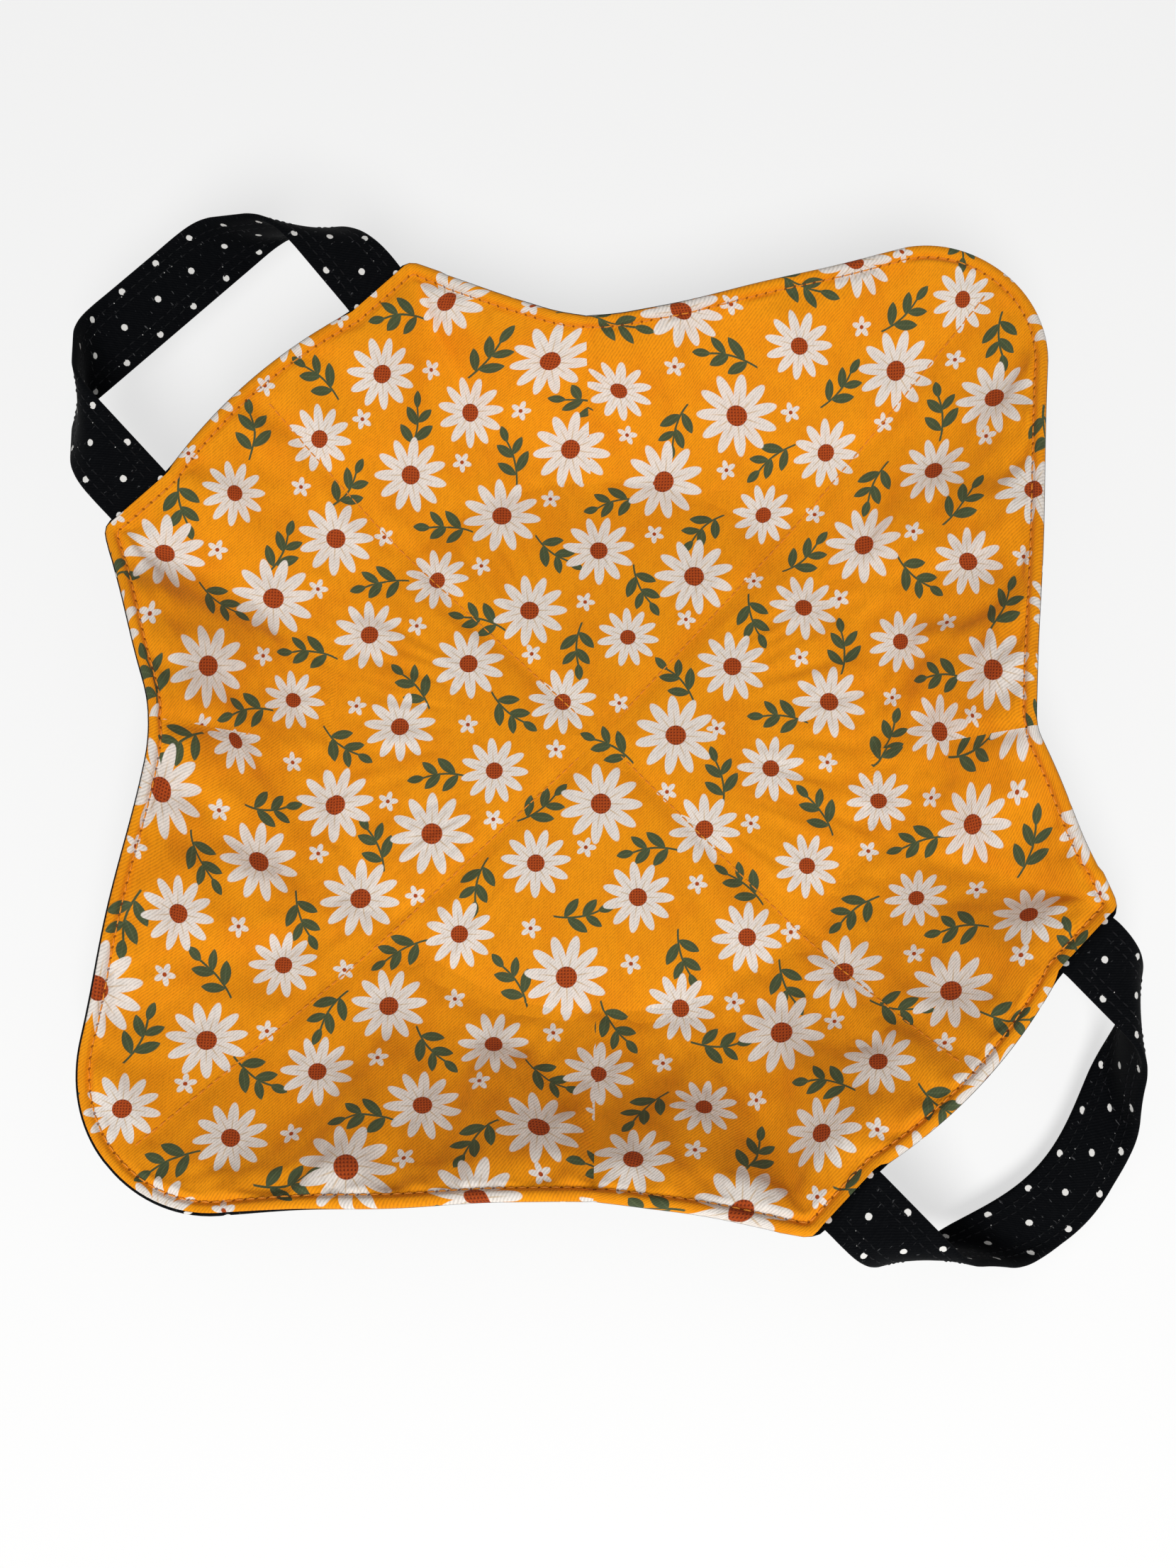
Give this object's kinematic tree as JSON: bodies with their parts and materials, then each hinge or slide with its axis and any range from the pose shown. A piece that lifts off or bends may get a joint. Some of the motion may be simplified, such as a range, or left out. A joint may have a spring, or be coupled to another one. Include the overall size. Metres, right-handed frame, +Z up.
{
  "type": "hot dish carrier",
  "caption": "Padded cloth bowl with rounded and cut-off corners, darted sides and folded strap loops, for carrying a hot baking dish to the table.",
  "frame": {"origin": "on the surface that the carrier stands on, under the middle of its bounding box", "axes": "+Z up, +X towards the right handle, +Y towards a rounded corner"},
  "size_m": [0.4797, 0.4382, 0.0625],
  "materials": {
    "printed_cotton": "golden-orange quilting cotton with a tossed floral print, matt",
    "pin_dot_cotton": "black quilting cotton with staggered white pin dots, matt",
    "batting": "undyed needled cotton batting",
    "orange_thread": "orange sewing thread",
    "black_thread": "black sewing thread"
  },
  "bodies": {
    "carrier": {"lining_panel": "printed_cotton", "lining_batting": "batting", "outer_batting": "batting", "outer_panel": "pin_dot_cotton", "edge_topstitch": "orange_thread", "edge_bobbin": "black_thread", "lining_quilting_between_handles": "orange_thread", "lining_quilting_between_corners": "orange_thread", "outer_quilting_between_handles": "black_thread", "outer_quilting_between_corners": "black_thread", "left_strap_end_front": "pin_dot_cotton", "left_strap_end_back": "pin_dot_cotton", "right_strap_end_front": "pin_dot_cotton", "right_strap_end_back": "pin_dot_cotton"},
    "left_handle": {"left_strap_cover": "pin_dot_cotton", "left_strap_core": "batting", "left_strap_inner_edge_stitch": "black_thread", "left_strap_inner_edge_bobbin": "black_thread", "left_strap_inner_stitch": "black_thread", "left_strap_inner_bobbin": "black_thread", "left_strap_outer_stitch": "black_thread", "left_strap_outer_bobbin": "black_thread", "left_strap_outer_edge_stitch": "black_thread", "left_strap_outer_edge_bobbin": "black_thread"},
    "right_handle": {"right_strap_cover": "pin_dot_cotton", "right_strap_core": "batting", "right_strap_inner_edge_stitch": "black_thread", "right_strap_inner_edge_bobbin": "black_thread", "right_strap_inner_stitch": "black_thread", "right_strap_inner_bobbin": "black_thread", "right_strap_outer_stitch": "black_thread", "right_strap_outer_bobbin": "black_thread", "right_strap_outer_edge_stitch": "black_thread", "right_strap_outer_edge_bobbin": "black_thread"}
  },
  "joints": [
    {"name": "left_handle_swing", "type": "hinge", "parent": "carrier", "child": "left_handle", "pos_m": [-0.17058, 0, 0.04789], "axis": [0, 1, 0], "range_deg": [-37, 108]},
    {"name": "right_handle_swing", "type": "hinge", "parent": "carrier", "child": "right_handle", "pos_m": [0.17058, 0, 0.04789], "axis": [0, -1, 0], "range_deg": [-1, 142]}
  ]
}
